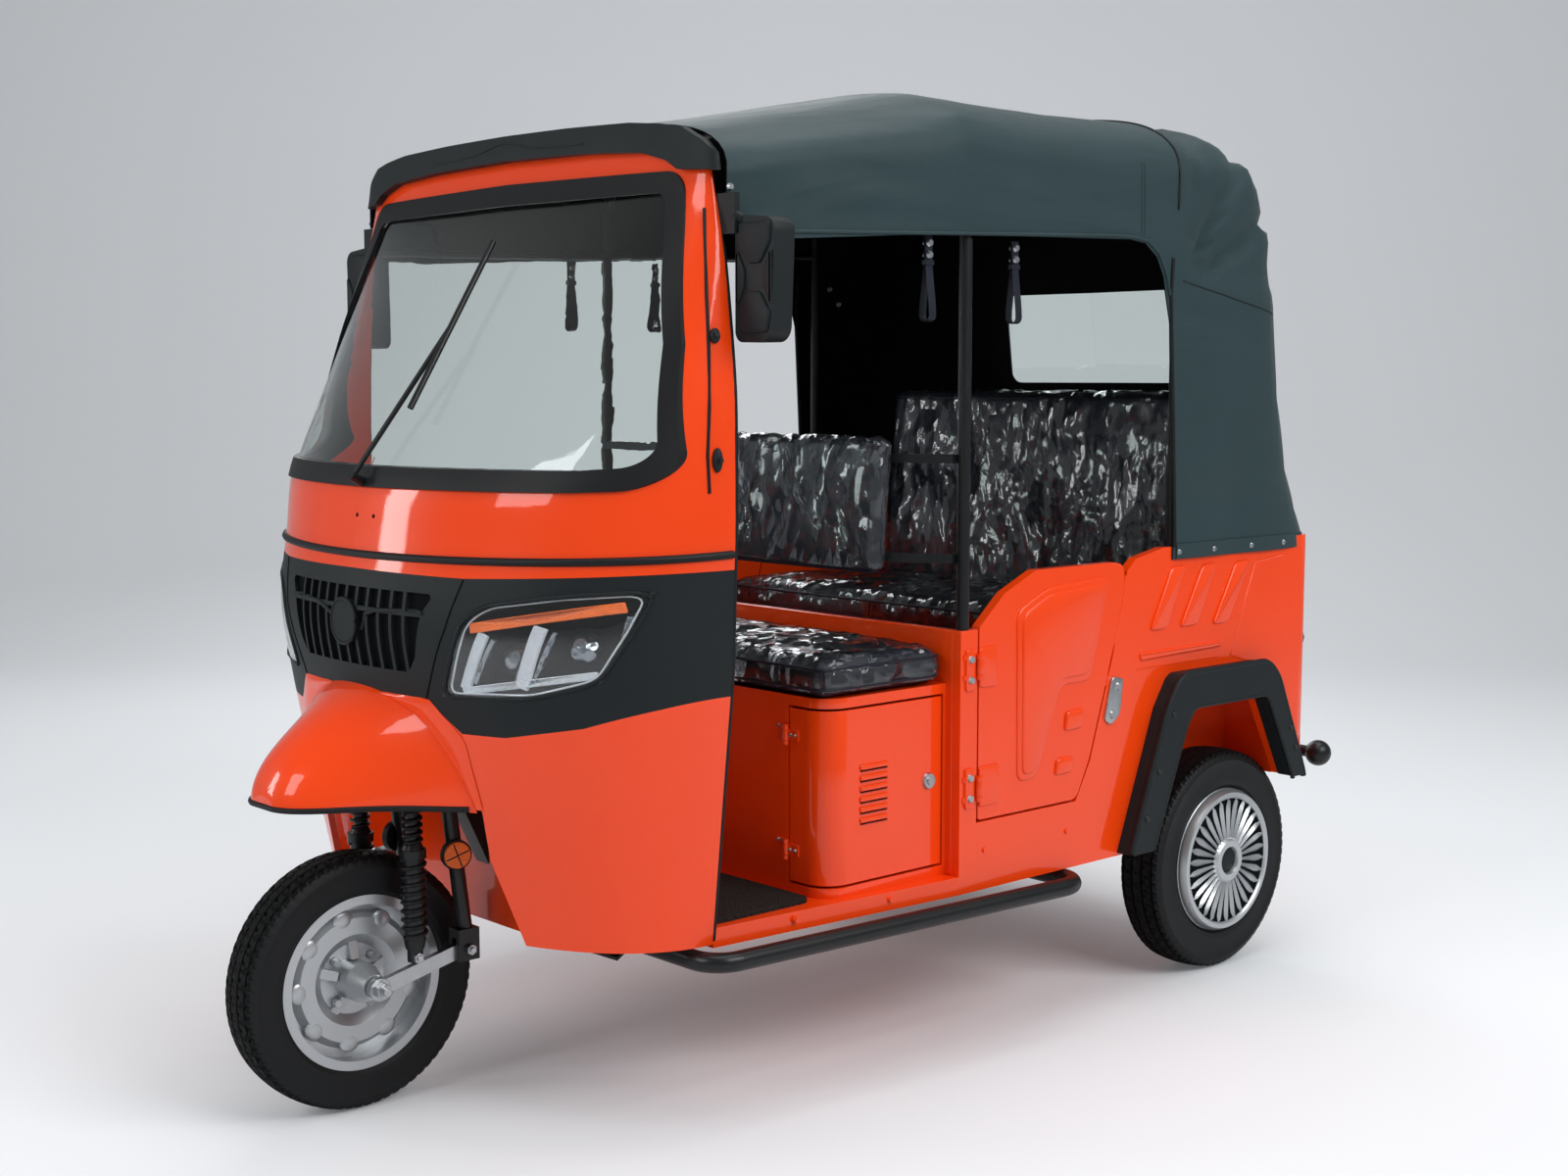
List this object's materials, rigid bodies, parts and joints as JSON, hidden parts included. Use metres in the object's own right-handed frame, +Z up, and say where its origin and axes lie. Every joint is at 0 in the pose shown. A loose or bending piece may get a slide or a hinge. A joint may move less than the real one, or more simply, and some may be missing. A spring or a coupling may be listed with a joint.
{
  "type": "auto rickshaw",
  "caption": "Three-wheeled passenger auto rickshaw with an orange cab, black nose panel, dark canvas roof, two side doors and film-wrapped seats.",
  "frame": {"origin": "on the ground under the middle of the vehicle's box", "axes": "+X forward, +Y to the vehicle's left, +Z up"},
  "size_m": [2.6219, 1.4298, 1.965],
  "materials": {
    "body_paint": "gloss",
    "frame_black": "satin",
    "plastic_black": "matte",
    "rubber_black": "matte",
    "window_glass": "clear",
    "lamp_glass": "clear",
    "lamp_red": "gloss",
    "cast_metal": "rough",
    "seat_vinyl": "wrapped in clear film",
    "canvas": "matte",
    "mirror_glass": "polished",
    "strap_vinyl": "matte",
    "bright_steel": "satin",
    "tyre_rubber": "matte",
    "wheel_silver": "silver"
  },
  "bodies": {
    "body": {"chassis_frame": "frame_black", "floor_pan": "body_paint", "splash_panel": "plastic_black", "wheel_well": "body_paint", "front_cowl": "body_paint", "cab_frame": "body_paint", "fascia": "plastic_black", "grille": "plastic_black", "headlamp_lenses": "lamp_glass", "headlamp_bowls": "plastic_black", "windscreen_seal": "rubber_black", "windscreen": "window_glass", "visor": "plastic_black", "front_fender": "body_paint", "dashboard": "plastic_black", "seat_box": "body_paint", "engine_block": "cast_metal", "driver_cushion": "seat_vinyl", "driver_backrest": "seat_vinyl", "backrest_frame": "frame_black", "partition": "body_paint", "side_panels": "body_paint", "tail_panel": "body_paint", "wheel_flares": "plastic_black", "wheel_housings": "body_paint", "bench_base": "body_paint", "passenger_cushion": "seat_vinyl", "passenger_backrest": "seat_vinyl", "canopy": "canvas", "rear_window": "window_glass", "canopy_frame": "frame_black", "mirrors": "plastic_black", "mirror_glasses": "mirror_glass", "step_tubes": "frame_black", "wiper": "frame_black", "grab_straps": "strap_vinyl", "tail_lamps": "lamp_red", "rear_bumper": "frame_black", "rear_axle": "frame_black", "leaf_springs": "frame_black"},
    "front_wheel": {"front_tyre": "tyre_rubber", "front_rim": "wheel_silver"},
    "rear_wheel_left": {"rear_tyre_left": "tyre_rubber", "rear_rim_left": "wheel_silver"},
    "rear_wheel_right": {"rear_tyre_right": "tyre_rubber", "rear_rim_right": "wheel_silver"},
    "steering": {"steering_fork": "frame_black", "suspension_links": "bright_steel", "shock_absorbers": "frame_black"},
    "passenger_door_left": {"door_left": "body_paint"},
    "passenger_door_right": {"door_right": "body_paint"},
    "seat_box_lid": {"seat_box_door": "body_paint"}
  },
  "joints": [
    {"name": "steer", "type": "hinge", "parent": "body", "child": "steering", "pos_m": [0.946, 0, 0.6], "axis": [-0.342, 0, 0.9397], "range_deg": [-35, 35]},
    {"name": "front_wheel_spin", "type": "hinge", "parent": "steering", "child": "front_wheel", "pos_m": [1.066, 0, 0.245], "axis": [0, 1, 0], "continuous": true},
    {"name": "rear_wheel_left_spin", "type": "hinge", "parent": "body", "child": "rear_wheel_left", "pos_m": [-0.91, 0.526, 0.258], "axis": [0, 1, 0], "continuous": true},
    {"name": "rear_wheel_right_spin", "type": "hinge", "parent": "body", "child": "rear_wheel_right", "pos_m": [-0.91, -0.526, 0.258], "axis": [0, 1, 0], "continuous": true},
    {"name": "passenger_door_left_swing", "type": "hinge", "parent": "body", "child": "passenger_door_left", "pos_m": [-0.029, 0.608, 0.677], "axis": [0, 0, -1], "range_deg": [0, 80]},
    {"name": "passenger_door_right_swing", "type": "hinge", "parent": "body", "child": "passenger_door_right", "pos_m": [-0.029, -0.608, 0.677], "axis": [0, 0, 1], "range_deg": [0, 80]},
    {"name": "seat_box_lid_swing", "type": "hinge", "parent": "body", "child": "seat_box_lid", "pos_m": [0.36, 0.452, 0.568], "axis": [0, 0, -1], "range_deg": [0, 90]}
  ]
}
